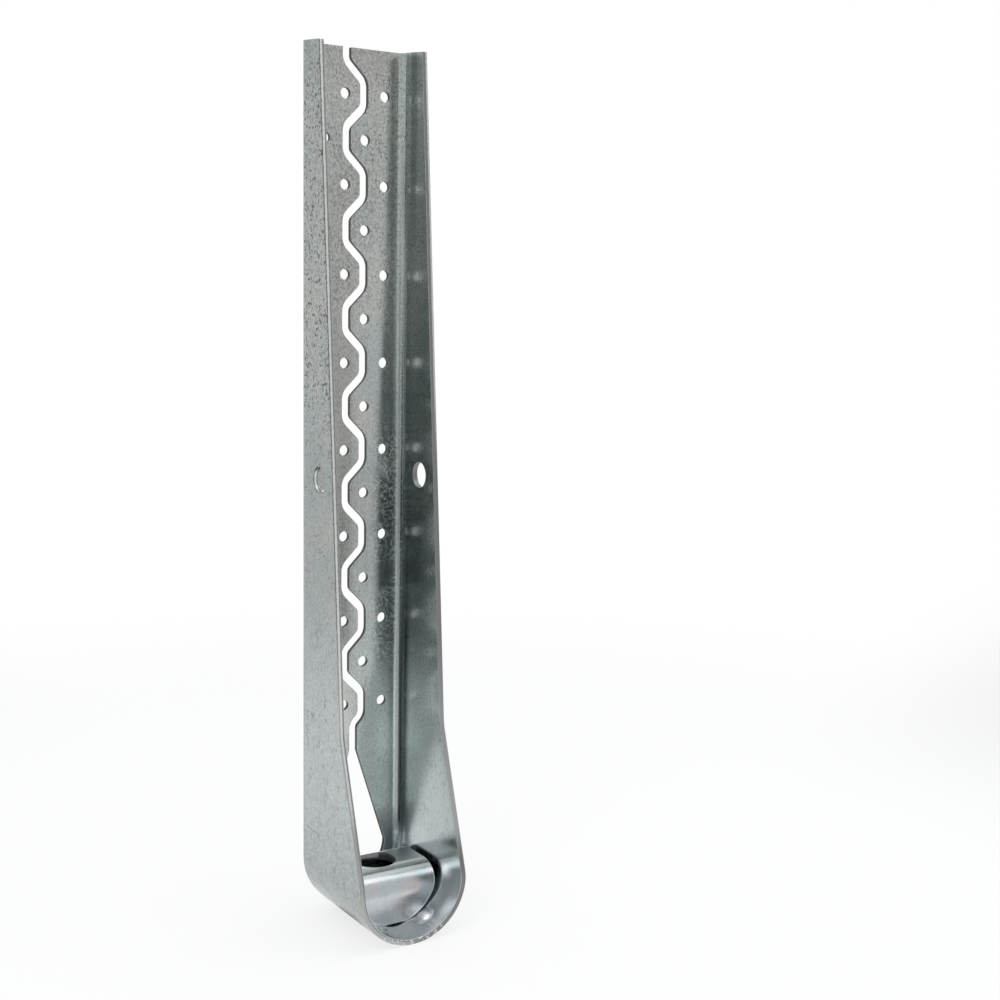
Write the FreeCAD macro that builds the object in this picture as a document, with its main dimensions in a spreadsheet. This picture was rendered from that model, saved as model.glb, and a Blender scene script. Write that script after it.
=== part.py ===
"""A hold-down that ties a timber post to an anchor bolt in concrete.

One steel sheet is folded into a tall channel: two flanges, a back in two halves that
meet at a wavy seam, and a rounded strap under the seat that joins the flanges.
A bent load plate sits loose in the strap and takes the pull of the anchor's nut.

Frame: +Z up, the open front towards -Y, the origin on the anchor's axis at the base.
"""
import FreeCAD
import Part
import Sketcher
import math
import os
import re

# Driving dimensions in millimetres and degrees, each with what it measures.
SIZES = {
    "width": (76.2, "across the outsides of the flanges"),
    "height": (565.15, "base of the strap to the top edge"),
    "seat_depth": (88.9, "back face to the strap's front edge"),
    "anchor_offset": (34.925, "back face to the anchor's axis"),
    "sheet_wall": (3.5, "thickness of the folded sheet"),
    "bend_inside": (4.5, "inside radius of the two rear bends"),
    "top_depth": (27.8, "depth of a flange at its top"),
    "top_drop": (2.0, "fall of a flange's top from the bend to the front"),
    "kink_depth": (59.0, "depth of a flange where its front edge kinks"),
    "kink_height": (131.0, "height of that kink"),
    "edge_round": (30.0, "radius of the front edge at the kink and at the strap"),
    "screw_hole": (7.14, "diameter of a screw hole"),
    "row_pitch": (28.575, "one row of screws to the next, and the top to the first"),
    "column_pitch": (14.2875, "one column of screws to the next"),
    "seam_gap": (6.0, "width of the seam"),
    "seam_swing": (6.2, "how far the seam swings to each side"),
    "seam_round": (8.0, "radius of the seam's centreline at its corners"),
    "window_top": (104.0, "height where the seam opens into the window"),
    "window_lip": (10.0, "lip left between the window and the flange's inside"),
    "lip_angle": (55.0, "where the lip ends round the strap, from straight down"),
    "lip_setback": (1.0, "strap's rear edge in front of the bend"),
    "pilot_hole": (17.0, "diameter of the forming hole in each flange"),
    "pilot_depth": (29.0, "back face to that hole's centre"),
    "pilot_height": (292.6, "base to that hole's centre"),
    "anchor_hole": (28.575, "diameter of the anchor's hole"),
    "seat_height": (38.1, "base to the top of the load plate"),
    "plate_wall": (5.5, "thickness of the load plate"),
    "plate_front": (29.0, "anchor's axis to the load plate's front apron"),
    "plate_rear": (25.0, "anchor's axis to its rear apron"),
    "plate_bend": (17.0, "outside radius of the load plate's bends"),
    "plate_play": (3.6, "load plate to each flange at its widest"),
    "plate_relief": (1.0, "height of the flat cut off the foot of each apron"),
    "plate_clearance": (0.1, "load plate to the strap it stands on"),
    "dimple_width": (12.0, "diameter of a stop pressed up from the strap"),
    "dimple_rise": (2.0, "height of that stop"),
    "dimple_angle": (30.0, "place of that stop round the strap, from straight down"),
    "dimple_gap": (0.5, "front apron to that stop"),
    "overcut": (5.0, "how far a cutting outline runs past the metal"),
}

# Lengths that follow from the driving ones.
FORMULAS = {
    "half_width": "width / 2",
    "front": "anchor_offset - seat_depth",
    "bend_outside": "bend_inside + sheet_wall",
    "taper": "atan((kink_depth - top_depth) / (height - top_drop - kink_height))",
    "flare": "atan((seat_depth - kink_depth) / (kink_height - half_width))",
    "kink_tangent": "edge_round * tan((flare - taper) / 2)",
    "foot_tangent": "edge_round * tan(flare / 2)",
    "half_gap": "seam_gap / 2",
    "seam_run": "row_pitch - 2 * seam_swing",
    "seam_tangent": "seam_round * tan(22.5)",
    "seam_tail": "row_pitch + seam_run / 2 + seam_swing + seam_tangent",
    "row_pairs": "floor((height - window_top - seam_tail) / (2 * row_pitch))",
    "tail_top": "height - 2 * row_pitch * row_pairs",
    "window_radius": "half_width - sheet_wall - window_lip",
    "past_strap": "half_width + overcut",
    "plate_radius": "half_width - sheet_wall - plate_play",
    "plate_centre": "sheet_wall + plate_clearance + plate_radius",
    "plate_foot": "sqrt(2 * plate_radius * plate_relief - plate_relief ^ 2)",
    "plate_shoulder": "seat_height - plate_bend",
    "dimple_radius": "dimple_width / 2",
    "dimple_centre": "-plate_front - dimple_gap - dimple_radius",
    "dimple_sphere": "(dimple_radius ^ 2 + dimple_rise ^ 2) / (2 * dimple_rise)",
    "dimple_foot": "sqrt(dimple_sphere ^ 2 - (dimple_sphere - dimple_rise - sheet_wall / 2) ^ 2)",
}

doc = FreeCAD.newDocument("hold_down")
sheet = doc.addObject("Spreadsheet::Sheet", "Sizes")
for row, (alias, (size, meaning)) in enumerate(SIZES.items(), start=1):
    sheet.set(f"A{row}", meaning)
    sheet.set(f"B{row}", str(size))
    sheet.setAlias(f"B{row}", alias)
doc.recompute()


def bound(formula):
    """Spell a formula out in cells of the sheet."""
    def spell(match):
        word = match[0]
        if word in SIZES:
            return f"Sizes.{word}"
        if word in FORMULAS:
            return f"({bound(FORMULAS[word])})"
        return word
    return re.sub(r"[a-z_]+", spell, formula)


def value(formula):
    """The number that a formula comes to."""
    return float(sheet.evalExpression(bound(formula)))


def bind(feature, **formulas):
    """Tie a feature's properties to the sheet."""
    for name, formula in formulas.items():
        feature.setExpression(name, bound(formula))


def origin_feature(body, role):
    return next(item for item in body.Origin.OriginFeatures if item.Role == role)


class Outline:
    """A sketch on one of its body's planes, with every corner and radius tied to the sheet."""

    def __init__(self, body, name, role, lift="0"):
        self.sketch = body.newObject("Sketcher::SketchObject", name)
        self.sketch.AttachmentSupport = (origin_feature(body, role), [""])
        self.sketch.MapMode = "FlatFace"
        self.sketch.setExpression("AttachmentOffset.Base.z", bound(lift))
        self.corners = {}

    def measure(self, formula, *constraint):
        index = self.sketch.addConstraint(Sketcher.Constraint(*constraint, value(formula)))
        self.sketch.setExpression(f"Constraints[{index}]", bound(formula))

    def pin(self, corner, geometry, end):
        """Hold one end of a line or an arc at a corner."""
        if corner in self.corners:
            self.sketch.addConstraint(Sketcher.Constraint("Coincident", geometry, end, *self.corners[corner]))
            return
        self.corners[corner] = (geometry, end)
        self.measure(corner[0], "DistanceX", -1, 1, geometry, end)
        self.measure(corner[1], "DistanceY", -1, 1, geometry, end)

    def lines(self, *corners):
        for start, finish in zip(corners, corners[1:]):
            segment = Part.LineSegment(place(start), place(finish))
            geometry = self.sketch.addGeometry(segment)
            self.pin(start, geometry, 1)
            self.pin(finish, geometry, 2)

    def arc(self, start, finish, radius):
        """A short arc that runs counter-clockwise from start to finish."""
        first, last = place(start), place(finish)
        chord = last - first
        reach = math.sqrt(value(radius) ** 2 - chord.Length ** 2 / 4)
        inward = FreeCAD.Vector(-chord.y, chord.x, 0).normalize()
        centre = (first + last) / 2 + inward * reach
        circle = Part.Circle(centre, FreeCAD.Vector(0, 0, 1), value(radius))
        geometry = self.sketch.addGeometry(
            Part.ArcOfCircle(circle, circle.parameter(first), circle.parameter(last)))
        self.pin(start, geometry, 1)
        self.pin(finish, geometry, 2)
        self.measure(radius, "Radius", geometry)

    def circle(self, centre, diameter):
        ring = Part.Circle(place(centre), FreeCAD.Vector(0, 0, 1), value(diameter) / 2)
        geometry = self.sketch.addGeometry(ring)
        self.pin(centre, geometry, 3)
        self.measure(diameter, "Diameter", geometry)


def place(corner):
    return FreeCAD.Vector(value(corner[0]), value(corner[1]), 0)


def add(body, kind, name, outline, **settings):
    """Add a feature made from an outline, such as a pad or a pocket."""
    feature = body.newObject(f"PartDesign::{kind}", name)
    feature.Profile = outline.sketch
    outline.sketch.Visibility = False
    for key, setting in settings.items():
        setattr(feature, key, setting)
    return feature


def cut_checked(body, name):
    """Rebuild, and stop if a cut took nothing away."""
    before = body.Shape.Volume
    doc.recompute()
    if body.Shape.Volume >= before:
        raise RuntimeError(f"{name} cuts nothing")


def pocket(body, name, outline, depth=None, **settings):
    """Cut an outline to a depth, or right through."""
    feature = add(body, "Pocket", name, outline, Reversed=True)
    feature.Type = "Length" if depth else "ThroughAll"
    if depth:
        bind(feature, Length=depth)
    for key, setting in settings.items():
        setattr(feature, key, setting)
    cut_checked(body, name)
    return feature


def repeat_down(body, name, original, spacing, count):
    """Repeat a cut down the height."""
    pattern = body.newObject("PartDesign::LinearPattern", name)
    pattern.Originals = [original]
    pattern.Direction = (origin_feature(body, "Z_Axis"), [""])
    pattern.Reversed = True
    pattern.Mode = "Spacing"
    bind(pattern, Offset=spacing, Occurrences=count)
    body.Tip = pattern
    cut_checked(body, name)


def edges_on_back(shape):
    """The rear edges of the channel's block, apart from the one across the top."""
    back = value("anchor_offset")
    top = value("height")
    tolerance = 1e-6
    return [f"Edge{number}" for number, edge in enumerate(shape.Edges, start=1)
            if edge.BoundBox.YMin > back - tolerance and edge.BoundBox.ZMin < top - tolerance]


def faces_at(shape, direction):
    """The flat faces of a shape that look in a direction."""
    return [f"Face{number}" for number, face in enumerate(shape.Faces, start=1)
            if isinstance(face.Surface, Part.Plane) and face.normalAt(0, 0).isEqual(direction, 1e-6)]


def folded_channel(body):
    """The sheet folded into flanges, back and strap, before anything is cut out of it."""
    outline = Outline(body, "channel_outline", "XZ_Plane", "-anchor_offset")
    left_foot, right_foot = ("-half_width", "half_width"), ("half_width", "half_width")
    bottom = ("0", "0")
    outline.lines(right_foot, ("half_width", "height"), ("-half_width", "height"), left_foot)
    outline.arc(left_foot, bottom, "half_width")
    outline.arc(bottom, right_foot, "half_width")
    block = add(body, "Pad", "channel_block", outline)
    bind(block, Length="seat_depth")
    doc.recompute()

    bends = body.newObject("PartDesign::Fillet", "rear_bends")
    bends.Base = (block, edges_on_back(block.Shape))
    bind(bends, Radius="bend_outside")
    doc.recompute()

    front = faces_at(bends.Shape, FreeCAD.Vector(0, -1, 0))
    top = faces_at(bends.Shape, FreeCAD.Vector(0, 0, 1))
    walls = body.newObject("PartDesign::Thickness", "sheet")
    walls.Base = (bends, front + top)
    walls.Reversed = True
    bind(walls, Value="sheet_wall")
    cut_checked(body, "sheet")


def flange_edges(body):
    """Trim the flanges to their sloping tops and their tapered and flared front edges."""
    outline = Outline(body, "flange_trim", "YZ_Plane")
    top_rear = ("anchor_offset - bend_outside", "height")
    top_front = ("anchor_offset - top_depth", "height - top_drop")
    kink = "anchor_offset - kink_depth"
    kink_upper = (f"{kink} + kink_tangent * sin(taper)", "kink_height + kink_tangent * cos(taper)")
    kink_lower = (f"{kink} - kink_tangent * sin(flare)", "kink_height - kink_tangent * cos(flare)")
    foot_upper = ("front + foot_tangent * sin(flare)", "half_width + foot_tangent * cos(flare)")
    foot_lower = ("front", "half_width - foot_tangent")
    outline.lines(top_rear, top_front, kink_upper)
    outline.arc(kink_lower, kink_upper, "edge_round")
    outline.lines(kink_lower, foot_upper)
    outline.arc(foot_upper, foot_lower, "edge_round")
    outline.lines(foot_lower, ("front - overcut", foot_lower[1]), ("front - overcut", "height + overcut"),
                  (top_rear[0], "height + overcut"), top_rear)
    pocket(body, "flange_fronts", outline, SideType="Symmetric")


def seam_bends(outline, top, offset):
    """One edge of the seam from a left swing, over to the right and back, to its last corner.

    The edge lies at an offset to the right of the seam's centreline, which turns by 45 degrees
    at each corner. It gives back the edge's first and last points.
    """
    along, across = f"(seam_tangent + {offset})", f"(seam_tangent - {offset})"
    first = f"{top} - seam_run / 2"
    second = f"{top} - seam_run / 2 - 2 * seam_swing"
    third = f"{top} - row_pitch - seam_run / 2"
    left = (f"-seam_swing + {offset}", f"{first} + seam_tangent")
    leaving_left = (f"-seam_swing + {along} * cos(45)", f"{first} - {across} * cos(45)")
    nearing_right = (f"seam_swing - {across} * cos(45)", f"{second} + {along} * cos(45)")
    right = (f"seam_swing + {offset}", f"{second} - seam_tangent")
    right_end = (f"seam_swing + {offset}", f"{third} + seam_tangent")
    leaving_right = (f"seam_swing - {across} * cos(45)", f"{third} - {along} * cos(45)")
    outline.arc(left, leaving_left, f"seam_round - {offset}")
    outline.lines(leaving_left, nearing_right)
    outline.arc(right, nearing_right, f"seam_round + {offset}")
    outline.lines(right, right_end)
    outline.arc(leaving_right, right_end, f"seam_round + {offset}")
    return left, leaving_right


def seam_return(outline, start, corner, offset):
    """Bring an edge of the seam from its right swing down to a corner of the centreline, and straighten it."""
    x, z = corner
    along, across = f"(seam_tangent + {offset})", f"(seam_tangent - {offset})"
    nearing = (f"{x} + {along} * cos(45)", f"{z} + {across} * cos(45)")
    straight = (f"{x} + {offset}", f"{z} - seam_tangent")
    outline.lines(start, nearing)
    outline.arc(nearing, straight, f"seam_round - {offset}")
    return straight


SEAM_EDGES = ("half_gap", "-half_gap")


def wavy_seam(body):
    """The seam down the back, one wave for each two rows of screws."""
    outline = Outline(body, "seam_wave", "XZ_Plane", "-anchor_offset")
    corner = ("-seam_swing", "height - 2 * row_pitch + seam_run / 2")
    tops, feet = [], []
    for offset in SEAM_EDGES:
        start, turn = seam_bends(outline, "height", offset)
        finish = seam_return(outline, turn, corner, offset)
        above = (start[0], "height + seam_run / 4")
        below = (finish[0], "height - 2 * row_pitch")
        outline.lines(start, above)
        outline.lines(finish, below)
        tops.append(above)
        feet.append(below)
    outline.lines(*tops)
    outline.lines(*feet)
    wave = pocket(body, "seam", outline, "bend_outside")
    repeat_down(body, "seam_waves", wave, "2 * row_pitch", "row_pairs")


def seat_window(body):
    """The seam's tail, and the window that it opens into above the strap."""
    outline = Outline(body, "window_outline", "XZ_Plane", "-anchor_offset")
    corner = ("0", "tail_top - row_pitch - seam_run / 2 - seam_swing")
    tops, feet = [], []
    for side, offset in zip(("", "-"), SEAM_EDGES):
        start, turn = seam_bends(outline, "tail_top", offset)
        neck = seam_return(outline, turn, corner, offset)
        above = (start[0], "tail_top + seam_run / 4")
        shoulder = (f"{side}half_gap", "window_top")
        sill = (f"{side}window_radius", "half_width")
        lip_end = (f"{side}window_radius * sin(lip_angle)", "half_width - window_radius * cos(lip_angle)")
        rim = (f"{side}past_strap * sin(lip_angle)", "half_width - past_strap * cos(lip_angle)")
        foot = (rim[0], "-overcut")
        outline.lines(above, start)
        outline.lines(neck, shoulder, sill)
        outline.arc(*((sill, lip_end) if side else (lip_end, sill)), "window_radius")
        outline.lines(lip_end, rim, foot)
        tops.append(above)
        feet.append(foot)
    outline.lines(*tops)
    outline.lines(*feet)
    pocket(body, "window", outline, "bend_outside + lip_setback")


def screw_rows(body):
    """Staggered rows of two screw holes in the back."""
    for name, row, columns, count in (
            ("odd", "row_pitch", ("-0.5", "1.5"), "row_pairs + 1"),
            ("even", "2 * row_pitch", ("-1.5", "0.5"), "row_pairs")):
        outline = Outline(body, f"{name}_row", "XZ_Plane", "-anchor_offset")
        for column in columns:
            outline.circle((f"{column} * column_pitch", f"height - {row}"), "screw_hole")
        holes = pocket(body, f"{name}_holes", outline, "bend_outside")
        repeat_down(body, f"{name}_rows", holes, "2 * row_pitch", count)


def round_holes(body):
    """The forming holes through the flanges, and the anchor's hole through the strap."""
    pilot = Outline(body, "pilot_outline", "YZ_Plane")
    pilot.circle(("anchor_offset - pilot_depth", "pilot_height"), "pilot_hole")
    pocket(body, "pilot_holes", pilot, SideType="Symmetric")
    anchor = Outline(body, "anchor_outline", "XY_Plane")
    anchor.circle(("0", "0"), "anchor_hole")
    pocket(body, "anchor_hole", anchor, "half_width")


def dimple_sketch(body, name):
    """A sketch in the plane through the strap's axis that leans out to one stop."""
    outline = Outline(body, name, "YZ_Plane", "-half_width * sin(dimple_angle)")
    outline.sketch.AttachmentOffset = FreeCAD.Placement(
        FreeCAD.Vector(0, 0, 0), FreeCAD.Rotation(FreeCAD.Vector(1, 0, 0), value("dimple_angle")))
    outline.sketch.setExpression("AttachmentOffset.Base.y", bound("half_width * (1 - cos(dimple_angle))"))
    outline.sketch.setExpression("AttachmentOffset.Rotation.Angle", bound("dimple_angle"))
    return outline


def turn(body, kind, name, outline, corner):
    """Turn an outline about the upright line through a corner of it."""
    axis = outline.sketch.addGeometry(Part.LineSegment(place(corner[0]), place(corner[1])), True)
    outline.pin(corner[0], axis, 1)
    outline.pin(corner[1], axis, 2)
    feature = add(body, kind, name, outline, ReferenceAxis=(outline.sketch, ["Axis0"]))
    feature.Angle = 360
    doc.recompute()
    return feature


def plate_stops(body):
    """Two stops pressed up from the strap, which keep the load plate from sliding out."""
    dome = dimple_sketch(body, "stop_outline")
    crown, middle = ("dimple_centre", "sheet_wall + dimple_rise"), ("dimple_centre", "sheet_wall / 2")
    foot = ("dimple_centre - dimple_foot", "sheet_wall / 2")
    dome.arc(crown, foot, "dimple_sphere")
    dome.lines(foot, middle, crown)
    raised = turn(body, "Revolution", "stop", dome, (middle, crown))

    hollow = dimple_sketch(body, "stop_hollow_outline")
    crown, middle = ("dimple_centre", "dimple_rise"), ("dimple_centre", "dimple_rise - dimple_sphere")
    waist = ("dimple_centre - dimple_sphere", "dimple_rise - dimple_sphere")
    hollow.arc(crown, waist, "dimple_sphere")
    hollow.lines(waist, middle, crown)
    pressed = turn(body, "Groove", "stop_hollow", hollow, (middle, crown))

    pair = body.newObject("PartDesign::Mirrored", "stops")
    pair.Originals = [raised, pressed]
    pair.MirrorPlane = (origin_feature(body, "YZ_Plane"), [""])
    body.Tip = pair
    doc.recompute()


def make_folded_body():
    body = doc.addObject("PartDesign::Body", "folded_body")
    folded_channel(body)
    flange_edges(body)
    wavy_seam(body)
    seat_window(body)
    screw_rows(body)
    round_holes(body)
    plate_stops(body)
    return body


def make_load_plate():
    """A thick plate bent down at the front and the rear, with its aprons cut to the strap's round."""
    body = doc.addObject("PartDesign::Body", "load_plate")
    outline = Outline(body, "plate_profile", "YZ_Plane")
    for side, reach in (("-", "plate_front"), ("", "plate_rear")):
        outer, inner = f"{side}{reach}", f"{side}({reach} - plate_wall)"
        flat = f"{side}({reach} - plate_bend)"
        crown, under = (flat, "seat_height"), (flat, "seat_height - plate_wall")
        shoulder, armpit = (outer, "plate_shoulder"), (inner, "plate_shoulder")
        outline.arc(*((crown, shoulder) if side else (shoulder, crown)), "plate_bend")
        outline.arc(*((under, armpit) if side else (armpit, under)), "plate_bend - plate_wall")
        outline.lines(shoulder, (outer, "0"), (inner, "0"), armpit)
    for level in ("seat_height", "seat_height - plate_wall"):
        outline.lines(("-(plate_front - plate_bend)", level), ("(plate_rear - plate_bend)", level))
    saddle = add(body, "Pad", "saddle", outline, SideType="Symmetric")
    bind(saddle, Length="width")
    doc.recompute()

    trim = Outline(body, "plate_trim", "XZ_Plane")
    left, right = ("-plate_radius", "plate_centre"), ("plate_radius", "plate_centre")
    sole = "plate_centre - plate_radius + plate_relief"
    left_foot, right_foot = ("-plate_foot", sole), ("plate_foot", sole)
    trim.arc(left, left_foot, "plate_radius")
    trim.lines(left_foot, right_foot)
    trim.arc(right_foot, right, "plate_radius")
    trim.lines(right, ("plate_radius", "seat_height + overcut"), ("-plate_radius", "seat_height + overcut"), left)
    outside = [("past_strap", "-overcut"), ("past_strap", "seat_height + 2 * overcut"),
               ("-past_strap", "seat_height + 2 * overcut"), ("-past_strap", "-overcut")]
    trim.lines(*outside, outside[0])
    pocket(body, "plate_round", trim, SideType="Symmetric")

    hole = Outline(body, "plate_hole_outline", "XY_Plane")
    hole.circle(("0", "0"), "anchor_hole")
    pocket(body, "plate_hole", hole)
    return body


def write_parts(parts):
    """Stop on anything that failed, then write each part to its own file."""
    doc.recompute()
    for item in doc.Objects:
        if {"Invalid", "Error"} & set(item.State):
            raise RuntimeError(f"{item.Label} failed: {item.State}")
    os.makedirs("parts", exist_ok=True)
    for part in parts:
        shape = part.Shape
        if shape.isNull() or not shape.isValid() or len(shape.Solids) != 1:
            raise RuntimeError(f"{part.Label} is not one valid solid")
        shape.exportStep(f"parts/{part.Label}.step")
        print(part.Label, "volume", round(shape.Volume), "box", shape.BoundBox)


write_parts([make_folded_body(), make_load_plate()])
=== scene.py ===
"""A hold-down of folded galvanised sheet with a bright load plate, on a pale studio floor."""
import math

import bpy
from mathutils import Matrix, Vector


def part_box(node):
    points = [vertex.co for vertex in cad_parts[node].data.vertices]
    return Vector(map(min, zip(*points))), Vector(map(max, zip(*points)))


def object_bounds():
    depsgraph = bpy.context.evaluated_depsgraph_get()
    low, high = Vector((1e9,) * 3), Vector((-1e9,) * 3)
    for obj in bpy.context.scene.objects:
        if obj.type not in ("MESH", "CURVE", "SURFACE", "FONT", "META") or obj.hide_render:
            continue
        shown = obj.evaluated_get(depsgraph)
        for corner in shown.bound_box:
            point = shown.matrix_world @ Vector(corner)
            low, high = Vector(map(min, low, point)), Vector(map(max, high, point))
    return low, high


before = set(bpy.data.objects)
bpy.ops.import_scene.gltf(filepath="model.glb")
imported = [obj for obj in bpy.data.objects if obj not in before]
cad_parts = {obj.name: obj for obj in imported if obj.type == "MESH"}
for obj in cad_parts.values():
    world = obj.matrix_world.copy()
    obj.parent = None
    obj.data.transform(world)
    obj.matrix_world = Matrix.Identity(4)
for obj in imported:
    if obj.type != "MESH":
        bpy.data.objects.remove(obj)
CAD_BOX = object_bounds()
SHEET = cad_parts["folded_body"]
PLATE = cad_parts["load_plate"]

# Sizes in metres, read from the frame or repeated from the part.
LOW, HIGH = CAD_BOX
MIDDLE = (LOW + HIGH) / 2
HALF_WIDTH = HIGH.x
BACK = HIGH.y
SHEET_WALL = 0.0035
BACK_INSIDE = BACK - SHEET_WALL
BEND_OUTSIDE = 0.008
BEND_LINE = BACK - BEND_OUTSIDE
STOP = (0.0173, 0.0355, 0.0081)
STOP_RADIUS = 0.0078
ANCHOR_RADIUS = 0.0142875
PLATE_LOW, PLATE_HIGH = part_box("load_plate")
PLATE_WALL = 0.0055
PLATE_RADIUS = PLATE_HIGH.x
APRON_FLAT = 0.001
PLATE_AXIS = (0, 0, PLATE_LOW.z + PLATE_RADIUS - APRON_FLAT)
REAR_APRON = PLATE_HIGH.y
SEAT_HEIGHT = PLATE_HIGH.z

# Edge rounding, and the shallow forms that show only as shading.
SHEET_EDGE = 0.00035
PLATE_EDGE = 0.0007
DISH = 0.0021
EASE_REACH = 0.0080
EASE_RISE = 0.0014
STOP_CROWN = 0.0010
SHEET_RELIEF = 0.00004
PLATE_RELIEF = 0.00006

# The scratch on the foot of the left flange, from its thick end to its thin one.
SCRATCH_START = Vector((-0.0381, 0.0240, 0.0611))
SCRATCH_END = Vector((-0.0381, 0.0010, 0.0602))
SCRATCH_WIDTH = 0.0005
SCRATCH_WOBBLE = 0.0006

# Heights on the folded sheet where its zinc changes, or where light and shade are painted into it: where a
# band rises, and where it falls away.
DULL_SHADED_HEIGHTS = (0.15, 0.20), (0.30, 0.36)
FROST_HEIGHTS = (0.12, 0.18), (0.30, 0.36)
HOLLOW_HEIGHTS = (0.12, 0.17), (0.33, 0.45)
BEND_HIGHLIGHT_HEIGHTS = (0.27, 0.32), (0.42, 0.48)
PALE_MIDDLE_HEIGHTS = (0.26, 0.32), (0.42, 0.48)
SOFT_HEIGHTS = (0.29, 0.34), (0.42, 0.48)
FLANGE_REAR_HEIGHTS = (0.10, 0.14), (0.24, 0.32)
PALE_LOW_HEIGHTS = (0.085, 0.110), (0.13, 0.17)
GREY_LEFT_HEIGHTS = (0.14, 0.20), (0.46, 0.54)
PALE_FOOT_HEIGHTS = (0.043, 0.047), (0.052, 0.058)

# Distances behind the anchor's axis where shade is painted into the zinc along the bends, and where a
# highlight is painted on the bend.
LOW_ROOT = (0.0145, 0.0225), (0.0292, 0.0302)
HIGH_ROOT = (0.010, 0.0155), (0.019, 0.0225)
BEND_ARC = (0.0272, 0.0285), (0.0309, 0.0313)
FLANGE_REAR = (-0.010, 0.010), (0.0225, 0.0250)
BEND_HIGHLIGHT_REACH = (0.0240, 0.0252), (0.0294, 0.0304)

# Painted highlight bands along the load plate's turns, as distances before or behind the anchor's axis.
TURN_HIGHLIGHT_BAND = (0.0183, 0.0193), (0.0207, 0.0219)
SEAT_EDGE_HIGHLIGHT_BAND = (0.0108, 0.0118), (0.0146, 0.0152)

# Colours of the folded sheet, with the painted highlights on the bend and the stops and the painted shade
# under the plate.
COOL_ZINC = (0.452, 0.494, 0.488, 1)
WARM_ZINC = (0.488, 0.496, 0.476, 1)
TEAL_ZINC = (0.440, 0.494, 0.488, 1)
DRAWN_ZINC_SHEEN = (0.60, 0.66, 0.68, 1)
PITTED_ZINC = (0.10, 0.115, 0.115, 1)
BEND_HIGHLIGHT_COLOUR = (0.92, 0.95, 0.95, 1)
UNDER_PLATE_SHADE = (0.10, 0.12, 0.12, 1)
STOP_HIGHLIGHT = (0.95, 0.96, 0.98, 1)

# Colours of the load plate, with painted shade on its underside and painted light on its seat, along its
# turns and on its apron's rim.
COOL_PLATING = (0.58, 0.63, 0.66, 1)
WARM_PLATING = (0.64, 0.63, 0.64, 1)
BURNISHED_BORE = (0.80, 0.84, 0.84, 1)
TORN_BORE = (0.52, 0.58, 0.56, 1)
UNDERSIDE_SHADE = (0.13, 0.15, 0.15, 1)
SEAT_SHEEN = (0.88, 0.93, 0.95, 1)
TURN_HIGHLIGHT_COLOUR = (0.93, 0.95, 0.96, 1)
RIM_HIGHLIGHT = (0.95, 0.96, 0.97, 1)

# The studio: white behind the part as the camera looks at it, a little greyer all round and above.
BLACK = (0, 0, 0, 1)
WHITE = (1, 1, 1, 1)
AMBIENT = (0.80, 0.82, 0.84, 1)
FLOOR_PAPER = (0.9, 0.9, 0.9, 1)
ROOM_SHADE = (0.015, 0.027, 0.025, 1)
SENSOR = 36.0
LENS = 52.966
CAMERA_PLACE = Vector((-0.4440, -0.8309, 0.3970))
CAMERA_HEADING = math.radians(32.948)
CAMERA_PITCH = math.radians(-7.118)
CAMERA_ROLL = math.radians(0.939)
BEHIND = (math.sin(CAMERA_HEADING), math.cos(CAMERA_HEADING), 0.0)
DIM_HEADING = math.radians(41)
FRONT_LEFT = (-math.sin(DIM_HEADING), -math.cos(DIM_HEADING), 0.0)
DIM_RISE = (0.36, 0.42), (0.66, 0.74)
DIM_SHARE = 0.65
SIDE_LEVEL = 0.72
FLOOR_SIZE = 30
FLOOR_GAP = 0.0002
TABLE_EDGE = 0.76
ROOM_FLOOR = 0.001
ROOM_WALL = 4.0
ROOM_CEILING = 1.6
ROOM_HEADINGS = (math.radians(14), math.radians(68))


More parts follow.
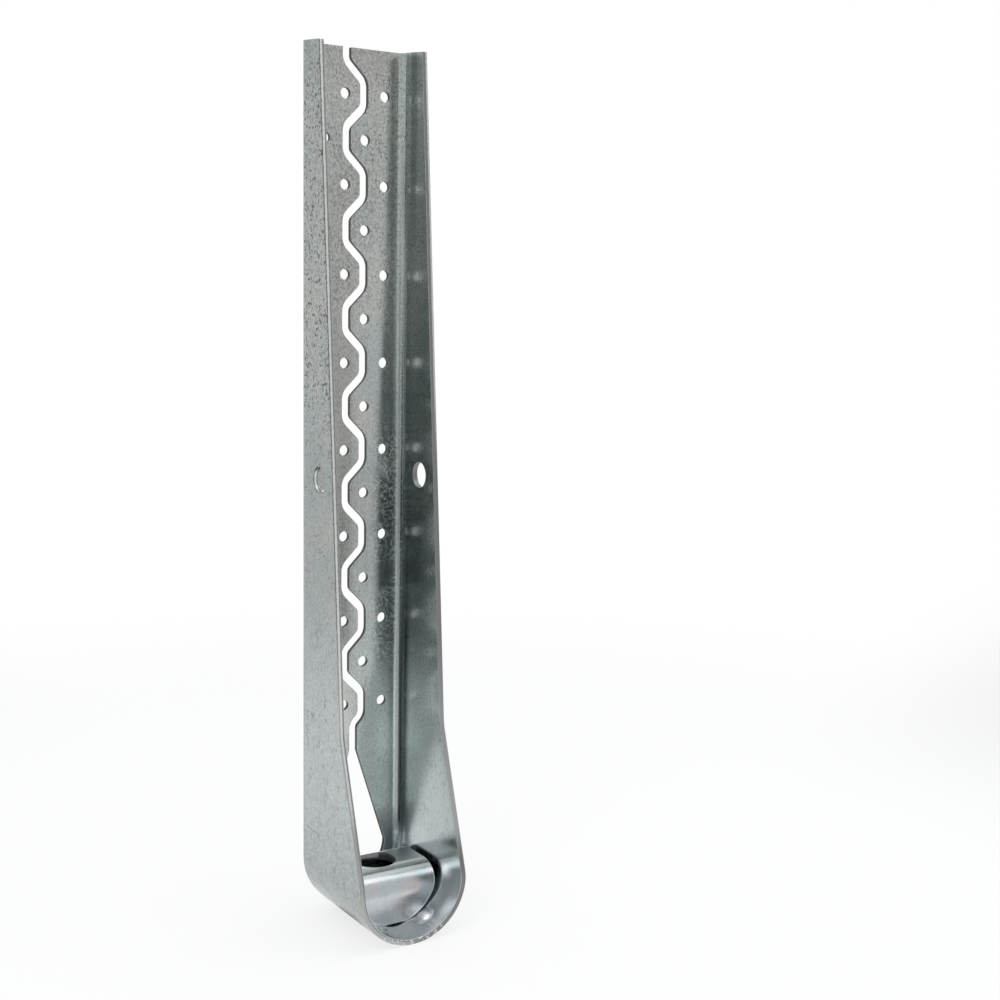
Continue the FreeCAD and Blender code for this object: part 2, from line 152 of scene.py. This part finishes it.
class Wire:
    """A socket of a node tree: arithmetic on it adds Math nodes, and node() adds any other node."""

    def __init__(self, tree, socket=None):
        self.tree = tree
        self.socket = socket

    def node(self, kind, settings, sockets, output=0):
        """Add a node, set it up, fill its sockets with values or wires, and give back one output."""
        made = self.tree.nodes.new(kind)
        for name, setting in settings.items():
            setattr(made, name, setting)
        for name, value in sockets.items():
            if isinstance(value, Wire):
                self.tree.links.new(value.socket, made.inputs[name])
            else:
                made.inputs[name].default_value = value
        return Wire(self.tree, made.outputs[output] if made.outputs else None)

    def maths(self, operation, *values):
        return self.node("ShaderNodeMath", {"operation": operation}, dict(enumerate(values)))

    def vector_maths(self, operation, sockets, output=0):
        return self.node("ShaderNodeVectorMath", {"operation": operation}, {0: self, **sockets}, output)

    def __add__(self, other):
        return self.maths("ADD", self, other)

    def __sub__(self, other):
        return self.maths("SUBTRACT", self, other)

    def __rsub__(self, other):
        return self.maths("SUBTRACT", other, self)

    def __mul__(self, other):
        return self.maths("MULTIPLY", self, other)

    def __truediv__(self, other):
        return self.maths("DIVIDE", self, other)

    __radd__ = __add__
    __rmul__ = __mul__

    def over(self, other):
        """The larger of two values."""
        return self.maths("MAXIMUM", self, other)

    def under(self, other):
        """The smaller of two values."""
        return self.maths("MINIMUM", self, other)

    def root(self):
        return self.maths("SQRT", self)

    def ramp(self, low, high, start=0.0, end=1.0):
        """Go smoothly from start to end as this value goes from low to high."""
        return self.node("ShaderNodeMapRange", {"interpolation_type": "SMOOTHSTEP"},
                         {"Value": self, "From Min": low, "From Max": high, "To Min": start, "To Max": end})

    def fade(self, low, high):
        """Fall smoothly from one to zero as this value goes from low to high."""
        return self.ramp(low, high, 1.0, 0.0)

    def band(self, rise, fall):
        """One between two soft edges, each given as where it starts and where it is done; zero outside."""
        return self.ramp(*rise) * self.fade(*fall)

    def varied(self):
        """This noise about zero."""
        return self - 0.5

    def blend(self, first, second):
        """Mix two colours, with this value as the share of the second."""
        return self.node("ShaderNodeMix", {"data_type": "RGBA"}, {0: self, 6: first, 7: second}, 2)

    def scaled(self, factors):
        """This vector or colour with each part multiplied by its own factor, or all by one wire."""
        if isinstance(factors, Wire):
            return self.vector_maths("SCALE", {"Scale": factors})
        return self.vector_maths("MULTIPLY", {1: factors})

    def unit(self):
        """This vector at length one."""
        return self.vector_maths("NORMALIZE", {})

    def length(self):
        return self.vector_maths("LENGTH", {}, "Value")

    def distance(self, point):
        return self.vector_maths("DISTANCE", {1: point}, "Value")

    def mirrored(self):
        """This vector with every part made positive."""
        return self.vector_maths("ABSOLUTE", {})

    def along(self, direction):
        """How far this vector reaches in a direction."""
        return self.vector_maths("DOT_PRODUCT", {1: direction}, "Value")

    def part(self, axis):
        """One part of this vector."""
        return self.node("ShaderNodeSeparateXYZ", {}, {0: self}, "XYZ".index(axis))

    def noise(self, size, detail=2.0, roughness=0.5, stretch=(1, 1, 1)):
        """Noise at this place, with features of about a size in metres, stretched along the axes."""
        place = self.scaled(tuple(1 / (size * factor) for factor in stretch))
        return self.node("ShaderNodeTexNoise", {}, {"Vector": place, "Scale": 1.0, "Detail": detail,
                                                    "Roughness": roughness})

    def bump(self):
        """A normal from this height in metres."""
        return self.node("ShaderNodeBump", {}, {"Strength": 1.0, "Distance": 1.0, "Height": self})


def new_material(name):
    """A bare material, and the start of its nodes."""
    material = bpy.data.materials.new(name)
    material.use_nodes = True
    material.node_tree.nodes.clear()
    return material, Wire(material.node_tree)


def surface(start, shader):
    start.node("ShaderNodeOutputMaterial", {}, {"Surface": shader})


def metal(start, colour, rough, relief):
    """Finish a metal from its colour, its roughness and the heights of its relief."""
    surface(start, start.node("ShaderNodeBsdfPrincipled", {}, {
        "Base Color": colour, "Metallic": 1.0, "Roughness": rough, "Normal": relief.bump()}))


def place_of(start):
    return start.node("ShaderNodeTexCoord", {}, {}, "Object")


def grey(level):
    """A steel grey of one level."""
    return (0.985 * level, level, level, 1)


class SheetPoint:
    """A point of the folded sheet: where it lies, and the zinc's clouds and mottling there."""

    def __init__(self, start):
        self.place = place_of(start)
        self.mirrored = self.place.mirrored()
        self.x, self.y, self.height = (self.place.part(axis) for axis in "XYZ")
        self.depth = self.below_outside() / SHEET_WALL
        self.inside = self.depth.ramp(0.5, 0.95)
        self.outside = 1.0 - self.inside
        self.on_back = self.y.ramp(BEND_LINE, BACK_INSIDE)
        self.facing = self.y.ramp(BACK_INSIDE - 0.0006, BACK_INSIDE)
        self.right_half = self.x.ramp(-0.004, 0.004)
        self.right = self.x.ramp(0.009, 0.023)
        self.low = self.height.fade(0.10, 0.30)
        self.upper = (self.height + 0.07 * self.outside).ramp(0.36, 0.43)
        self.top = self.facing * self.height.ramp(0.535, 0.560)
        # The drawn strap at the foot: smoother, and painted brighter as a painted sheen for its reflections.
        self.drawn = self.inside * self.height.fade(0.030, 0.055)
        # A band on the right where the zinc is duller, rougher and veined, and also darkened by painted
        # shade.
        self.dull_and_shaded = self.right * self.height.band(*DULL_SHADED_HEIGHTS)
        self.contrast = (1.0 + 0.8 * self.upper) * (1.0 - 0.5 * self.inside * (1.0 - self.facing))
        self.clouds = self.place.noise(0.035, detail=3.0)
        self.mottle = self.place.noise(0.0026, detail=3.0, roughness=0.65, stretch=(1, 1, 1.3))

    def below_outside(self):
        """How far the point lies below the outside of the folded sheet, in metres."""
        below = (self.height - HALF_WIDTH).under(0.0)
        across = (self.x * self.x + below * below).root()
        side = (across - (HALF_WIDTH - BEND_OUTSIDE)).over(0.0)
        rear = (self.y - BEND_LINE).over(0.0)
        return BEND_OUTSIDE - (side * side + rear * rear).root()


def cut_steel(at):
    """Sheared edges: bright beside a dark rim on the left, mostly torn on the right, chipped at the foot."""
    ragged = at.depth + 0.25 * at.place.noise(0.0014).varied()
    rim = at.height.ramp(0.14, 0.24).blend(grey(0.45), grey(0.20))
    burnished = at.height.ramp(0.070, 0.095).blend(grey(0.44), grey(0.76))
    left = ragged.ramp(0.18, 0.30).blend(rim, burnished)
    left = ragged.ramp(0.60, 0.74).blend(left, grey(0.28))
    torn = at.height.ramp(0.075, 0.20).blend(grey(0.46), grey(0.25))
    torn = at.height.fade(0.050, 0.070).blend(torn, grey(0.23))
    lip = at.height.ramp(0.29, 0.37) * ragged.fade(0.28, 0.42)
    right = lip.blend(torn, grey(0.64))
    steel = at.x.ramp(-0.01, 0.01).blend(left, right)
    chips = at.place.noise(0.0013).ramp(0.54, 0.62) * at.height.fade(0.004, 0.014)
    steel = chips.blend(steel, grey(0.72))
    return at.on_back.blend(steel, grey(0.06))


def scratch(at):
    """A thin scratch across the foot of the left flange."""
    reach = (SCRATCH_END - SCRATCH_START).length
    heading = (SCRATCH_END - SCRATCH_START).normalized()
    aside = heading.cross((1, 0, 0))
    along = at.place.along(heading) - SCRATCH_START.dot(heading)
    off = at.place.along(aside) - SCRATCH_START.dot(aside) + SCRATCH_WOBBLE * at.place.noise(0.004).varied()
    thin = (off * off).fade(SCRATCH_WIDTH ** 2 / 4, SCRATCH_WIDTH ** 2)
    ends = along.band((0.0, 0.001), (0.6 * reach, reach))
    return thin * ends * at.x.fade(LOW.x + SHEET_WALL / 4, LOW.x + SHEET_WALL / 2)


def pitting(at):
    """Pits above and fine upright lines below, gathered in clusters, with the scratch; none on the strap."""
    clusters = 0.3 * at.place.noise(0.010).varied()
    pits = at.place.noise(0.0013, stretch=(1, 1.6, 1.4)) + clusters + 0.03 * at.upper
    lines = at.place.noise(0.0008, detail=1.0, stretch=(1, 1.6, 6)) + clusters
    marks = pits.ramp(0.60, 0.68) * (1.0 - 0.6 * at.low) + 0.8 * at.low * lines.ramp(0.62, 0.70)
    marks = marks * (1.0 - 0.3 * at.on_back) + scratch(at)
    return marks.under(1.0) * (1.0 - at.drawn)


def frost(at):
    """Pale veins in the zinc on the inside of the back."""
    veins = at.place.noise(0.0034, detail=3.0, roughness=0.6).varied()
    veins = (veins * veins).fade(0.0, 0.0015)
    return veins * at.height.band(*FROST_HEIGHTS) * at.facing * at.inside * at.clouds.ramp(0.30, 0.50)


def painted_shade(at):
    """Painted shade: how far the zinc inside is darkened in the roots and arc of the bends, at the right
    flange's rear and in the dull band on the right.
    """
    low_root = at.height.ramp(0.17, 0.24, 0.6, 0.0) * at.y.band(*LOW_ROOT)
    high_root = at.height.ramp(0.42, 0.50, 0.0, 0.4) * at.y.band(*HIGH_ROOT)
    bend_arc = at.height.ramp(0.15, 0.22, 0.28, 0.0) * at.y.band(*BEND_ARC)
    flange_rear = 0.20 * at.right * at.y.band(*FLANGE_REAR) * at.height.band(*FLANGE_REAR_HEIGHTS)
    dull_and_shaded = at.dull_and_shaded * (0.40 * at.facing + at.y.ramp(0.020, 0.024, 0.14, 0.0))
    return at.inside * (low_root + high_root + bend_arc + flange_rear + dull_and_shaded)


def brightness(at, veins):
    """What the zinc's colour is multiplied by: its grain, its paler and darker places, some of the paler
    ones painted light, and the painted shade along the bends.
    """
    grain = at.place.noise(0.0012, stretch=(1, 1, 1.5)).varied()
    streaks = at.place.noise(0.0018, stretch=(1, 1, 25)).varied()
    shade = 1.01 + at.contrast * (0.45 * at.mottle.varied() + 0.7 * grain)
    shade = shade + 0.16 * streaks + 0.16 * at.clouds.varied() + (0.2 + 1.2 * at.dull_and_shaded) * veins

    # Paler places: higher up, on the middle of the back's right half, and, as painted light for the light
    # reflected between the walls, low on the insides, low on the back's right and at the right flange's
    # foot.
    paler = 0.06 * at.upper + (0.06 + 0.16 * at.facing) * at.inside * at.low
    paler = paler + 0.16 * at.facing * at.right_half * at.height.band(*PALE_MIDDLE_HEIGHTS)
    paler = paler + 0.28 * at.facing * at.right * at.height.band(*PALE_LOW_HEIGHTS)
    paler = paler + 0.06 * at.inside * at.right * (1.0 - at.facing) * at.height.band(*PALE_FOOT_HEIGHTS)

    darker = 0.14 * at.mottle * at.height.ramp(0.530, 0.562) + 0.18 * at.top * at.mottle.ramp(0.50, 0.64)
    darker = darker + 0.12 * at.facing * (1.0 - at.right) * at.height.band(*GREY_LEFT_HEIGHTS)
    ends = at.height.ramp(0.020, 0.100, 0.20, 0.0) + at.height.ramp(0.40, 0.52, 0.0, 0.06)
    shade = shade + paler - darker - at.outside * ends
    # On the drawn strap the shade is lifted to an even painted sheen.
    return (shade + at.drawn * (1.02 - shade)) * (1.0 - painted_shade(at))


def zinc_colour(at, pits, veins):
    """The zinc's colour: cool or warm by its clouds, teal deep inside, with a painted sheen on the drawn
    strap, a painted highlight on the bend and painted shade under the plate.
    """
    warmth = at.clouds + at.height.ramp(0.05, 0.4, -0.15, 0.0)
    warmth = warmth + 0.25 * at.facing * (1.0 - at.right_half) + 0.4 * at.top
    zinc = warmth.ramp(0.35, 0.7).blend(COOL_ZINC, WARM_ZINC)
    teal = at.inside * at.right * (1.0 - at.facing * at.height.ramp(0.28, 0.42))
    zinc = (0.7 * teal).blend(zinc, TEAL_ZINC)
    zinc = zinc.scaled(brightness(at, veins))
    zinc = at.drawn.blend(zinc, DRAWN_ZINC_SHEEN)
    pitted = (pits * at.contrast * (0.50 - 0.12 * at.inside)).under(0.9)
    zinc = pitted.blend(zinc, PITTED_ZINC)
    # A painted highlight on the inside of the bend, high up.
    bend_highlight = at.inside * at.y.band(*BEND_HIGHLIGHT_REACH) * at.height.band(*BEND_HIGHLIGHT_HEIGHTS)
    zinc = (0.8 * bend_highlight).blend(zinc, BEND_HIGHLIGHT_COLOUR)
    # Painted shade on the strap's inside under the load plate.
    shaded_under_plate = at.inside * at.height.fade(0.034, 0.0375) * at.mirrored.part("Y").fade(0.0225, 0.0255)
    return shaded_under_plate.blend(zinc, UNDER_PLATE_SHADE)


def sheet_roughness(at, pits, veins):
    """How rough the zinc is: rougher in pits and veins, and on the back where its reflections are soft."""
    rough = 0.21 + 0.10 * at.mottle.varied() + 0.05 * at.clouds.varied() + 0.10 * pits + 0.16 * veins
    low_end = at.height.fade(0.054, 0.064)
    soft = at.right * at.height.band(*SOFT_HEIGHTS)
    return rough + at.facing * (0.09 * at.dull_and_shaded + 0.25 * low_end + 0.07 * soft)


def sheet_relief(at, pits):
    """Heights in metres that show only as shading: a fine texture, the dished back and the eased bends."""
    texture = (at.mottle + 0.5 * at.clouds - 0.5 * pits) * (1.0 - at.drawn)
    reach = 0.030 - 0.0025 * at.right_half - 0.0065 * at.height.band(*HOLLOW_HEIGHTS)
    hollow = at.height.ramp(0.12, 0.20) * at.mirrored.part("X").fade(0.0, reach)
    dished = at.on_back * at.depth.ramp(0.4, 0.6, -DISH, DISH) * (1.0 - hollow)
    eased = at.inside * at.y.ramp(BEND_LINE - EASE_REACH, BEND_LINE + SHEET_WALL, 0.0, EASE_RISE)
    return SHEET_RELIEF * texture + dished + eased


def galvanised_sheet():
    """Zinc on rolled sheet with sheared edges: clouded, finely pitted and stained, with painted shade along
    its bends and a painted highlight on its stops.
    """
    material, start = new_material("galvanised_sheet")
    at = SheetPoint(start)
    pits = pitting(at)
    veins = frost(at)
    cut = at.depth.band((0.03, 0.07), (0.90, 0.95))
    off_stop = (at.mirrored.distance(STOP) / STOP_RADIUS).under(1.0)
    crown = at.depth.ramp(0.6, 0.9) * (1.0 - off_stop * off_stop)
    colour = cut.blend(zinc_colour(at, pits, veins), cut_steel(at))
    # The crown of each stop is rougher and carries a painted highlight.
    colour = crown.blend(colour, STOP_HIGHLIGHT)
    rough = sheet_roughness(at, pits, veins) + 0.22 * cut + 0.30 * crown
    metal(start, colour, rough, sheet_relief(at, pits) + STOP_CROWN * crown)
    return material


def bright_zinc():
    """The load plate's brighter plating: smoother, with soft clouds, painted highlights along its turns,
    seat and apron rim, and painted shade underneath.
    """
    material, start = new_material("bright_zinc")
    place = place_of(start)
    y, height = place.part("Y"), place.part("Z")
    below = SEAT_HEIGHT - height
    beside = place.mirrored().part("Y")
    clouds = place.noise(0.018, detail=3.0)
    mottle = place.noise(0.003, detail=3.0, stretch=(1.6, 1, 1))
    drawn = place.noise(0.0008, stretch=(1, 8, 8))
    tint = place.noise(0.012, detail=1.0)

    bore = place.scaled((1, 1, 0)).length().fade(ANCHOR_RADIUS + 0.0002, ANCHOR_RADIUS + 0.0006)
    torn = (below / PLATE_WALL + 0.2 * mottle.varied()).ramp(0.3, 0.42)
    # Painted shade on the plate's underside, inside its arch.
    underside_shade = below.ramp(0.9 * PLATE_WALL, PLATE_WALL)
    underside_shade = underside_shade * beside.fade(REAR_APRON - PLATE_WALL, REAR_APRON - 0.9 * PLATE_WALL)
    # The seat's top skin is paler and rougher, painted light that grows towards the front turn.
    seat_sheen = below.fade(0.0004, 0.0014) * y.ramp(-0.013, 0.013, 0.9, 0.4) * (1.0 - bore)
    # Painted highlight bands along the plate's turns, streaked by the drawn lines, and rougher.
    turn_highlights = beside.band(*TURN_HIGHLIGHT_BAND) + beside.band(*SEAT_EDGE_HIGHLIGHT_BAND)
    turn_highlights = turn_highlights * below.fade(0.0035, 0.0045) * (0.5 + drawn).under(1.0)
    # A painted highlight along the rounded lower rim of the aprons, which is also rougher.
    from_axis = place.scaled((1, 0, 1)).distance(PLATE_AXIS)
    rim_highlight = from_axis.ramp(PLATE_RADIUS - 0.0009, PLATE_RADIUS - 0.0005) * height.fade(0.028, 0.033)

    colour = tint.ramp(0.4, 0.62).blend(COOL_PLATING, WARM_PLATING)
    colour = colour.scaled(0.84 + 0.2 * mottle + 0.16 * drawn.varied() + 0.2 * clouds.varied())
    colour = bore.blend(colour, torn.blend(BURNISHED_BORE, TORN_BORE))
    colour = underside_shade.blend(colour, UNDERSIDE_SHADE)
    colour = seat_sheen.blend(colour, SEAT_SHEEN)
    colour = turn_highlights.blend(colour, TURN_HIGHLIGHT_COLOUR)
    colour = rim_highlight.blend(colour, RIM_HIGHLIGHT)
    rough = 0.25 + 0.14 * clouds.varied() + 0.10 * mottle.varied()
    rough = rough + 0.15 * bore + 0.35 * rim_highlight + 0.40 * turn_highlights + 0.20 * seat_sheen
    metal(start, colour, rough, PLATE_RELIEF * (0.5 * mottle + 0.5 * clouds + 0.15 * drawn))
    return material


def smooth_shading():
    """A modifier's nodes that shade every face smooth."""
    group = bpy.data.node_groups.new("smooth_shading", "GeometryNodeTree")
    for side in ("INPUT", "OUTPUT"):
        group.interface.new_socket("Geometry", in_out=side, socket_type="NodeSocketGeometry")
    start = Wire(group).node("NodeGroupInput", {}, {})
    smooth = start.node("GeometryNodeSetShadeSmooth", {}, {"Geometry": start})
    smooth.node("NodeGroupOutput", {}, {"Geometry": smooth})
    return group


def dress(piece, material, edge, smooth):
    """Give a piece its material, and round its edges by a width with the large faces still shaded flat."""
    weld = piece.modifiers.new("weld", "WELD")
    weld.merge_threshold = 1e-6
    flat = piece.modifiers.new("flat_faces", "DECIMATE")
    flat.decimate_type = "DISSOLVE"
    flat.angle_limit = math.radians(0.1)
    edges = piece.modifiers.new("soft_edges", "BEVEL")
    edges.width = edge
    edges.segments = 2
    edges.limit_method = "ANGLE"
    edges.angle_limit = math.radians(35)
    piece.modifiers.new("smooth_shading", "NODES").node_group = smooth
    piece.modifiers.new("even_shading", "WEIGHTED_NORMAL").mode = "FACE_AREA"
    piece.material_slots[0].material = material


def seen_directly(start, mirrored=1.0):
    """One for a ray from the camera or through clear glass, a share for a reflection, zero for the rest."""
    kinds = ("Camera", "Transmission", "Glossy")
    rays = [start.node("ShaderNodeLightPath", {}, {}, f"Is {kind} Ray") for kind in kinds]
    return rays[0].over(rays[1]).over(rays[2] * mirrored)


def backdrop_level(direction):
    """How bright the room is in a direction."""
    return direction.along(BEHIND).ramp(0.55, 0.86, SIDE_LEVEL, 1.0)


def studio_world():
    """The room all round, with a dimmer patch high up in front, on the left."""
    world = bpy.data.worlds.new("studio")
    world.use_nodes = True
    world.node_tree.nodes.clear()
    start = Wire(world.node_tree)
    direction = start.node("ShaderNodeTexCoord", {}, {}, "Generated")
    dim = direction.along(FRONT_LEFT).ramp(0.45, 0.70) * direction.part("Z").band(*DIM_RISE)
    level = backdrop_level(direction) * (1.0 - DIM_SHARE * dim)
    colour = seen_directly(start).blend(AMBIENT, level.blend(BLACK, WHITE))
    light = start.node("ShaderNodeBackground", {}, {"Color": colour})
    start.node("ShaderNodeOutputWorld", {}, {"Surface": light})
    bpy.context.scene.world = world


def white_floor():
    """A wide pale floor that keeps a faint shadow and meets the backdrop without a line."""
    bpy.ops.mesh.primitive_plane_add(size=FLOOR_SIZE, location=(0, 0, LOW.z - FLOOR_GAP))
    floor = bpy.context.object
    floor.name = "floor"
    material, start = new_material("pale_floor")
    place = place_of(start)
    from_part = place.length()
    far = from_part.ramp(0.4, 1.2)
    under_part = from_part.fade(0.022, 0.034)
    level = 1.0 - far * (1.0 - backdrop_level(place.unit()))
    paper = start.node("ShaderNodeBsdfDiffuse", {}, {"Color": FLOOR_PAPER})
    glow = start.node("ShaderNodeEmission", {}, {"Color": level.blend(BLACK, WHITE)})
    share = seen_directly(start, 1.0 - under_part) * far.ramp(0.0, 1.0, 0.75, 1.0)
    surface(start, start.node("ShaderNodeMixShader", {}, {0: share, 1: paper, 2: glow}))
    floor.data.materials.append(material)


def softbox(name, place, target, width, depth, power):
    """A soft rectangular lamp that points at a target."""
    lamp = bpy.data.lights.new(name, "AREA")
    lamp.shape = "RECTANGLE"
    lamp.size = width
    lamp.size_y = depth
    lamp.energy = power
    holder = bpy.data.objects.new(name, lamp)
    holder.location = place
    holder.rotation_euler = (Vector(target) - Vector(place)).to_track_quat("-Z", "Y").to_euler()
    bpy.context.scene.collection.objects.link(holder)


def dark_room():
    """The dim room beyond the table's front edge, paler towards its ceiling, which only reflections see."""
    profile = [(TABLE_EDGE, ROOM_FLOOR), (ROOM_WALL, ROOM_FLOOR), (ROOM_WALL, ROOM_CEILING)]
    corners = []
    for reach, height in profile:
        for heading in ROOM_HEADINGS:
            corners.append((-reach * math.sin(heading), -reach * math.cos(heading), height))
    mesh = bpy.data.meshes.new("dark_room")
    mesh.from_pydata(corners, [], [(0, 1, 3, 2), (2, 3, 5, 4)])
    room = bpy.data.objects.new("dark_room", mesh)
    bpy.context.scene.collection.objects.link(room)
    material, start = new_material("dark_room")
    colour = place_of(start).part("Z").ramp(0.0, ROOM_CEILING).blend(ROOM_SHADE, WHITE)
    surface(start, start.node("ShaderNodeEmission", {}, {"Color": colour}))
    mesh.materials.append(material)
    room.visible_camera = False
    room.visible_diffuse = False
    room.visible_shadow = False


def photo_camera():
    """The camera that took the photograph, fitted to the screw holes and edges."""
    data = bpy.data.cameras.new("photo_camera")
    data.sensor_width = SENSOR
    data.lens = LENS
    data.clip_start = 0.05
    data.clip_end = 50
    heading = Matrix.Rotation(-CAMERA_HEADING, 4, "Z")
    pitch = Matrix.Rotation(math.pi / 2 + CAMERA_PITCH, 4, "X")
    roll = Matrix.Rotation(CAMERA_ROLL, 4, "Z")
    camera = bpy.data.objects.new("photo_camera", data)
    camera.matrix_world = Matrix.Translation(CAMERA_PLACE) @ heading @ pitch @ roll
    bpy.context.scene.collection.objects.link(camera)
    bpy.context.scene.camera = camera


smooth = smooth_shading()
dress(SHEET, galvanised_sheet(), SHEET_EDGE, smooth)
dress(PLATE, bright_zinc(), PLATE_EDGE, smooth)
photo_camera()
studio_world()
white_floor()
softbox("key_softbox", (-0.9, -0.6, 1.5), MIDDLE, width=0.6, depth=0.6, power=3.2)
softbox("top_softbox", (0.2, -0.13, 1.15), (0.2, -0.13, 0), width=1.2, depth=0.85, power=3.7)
dark_room()
bpy.context.scene.view_settings.view_transform = "Standard"
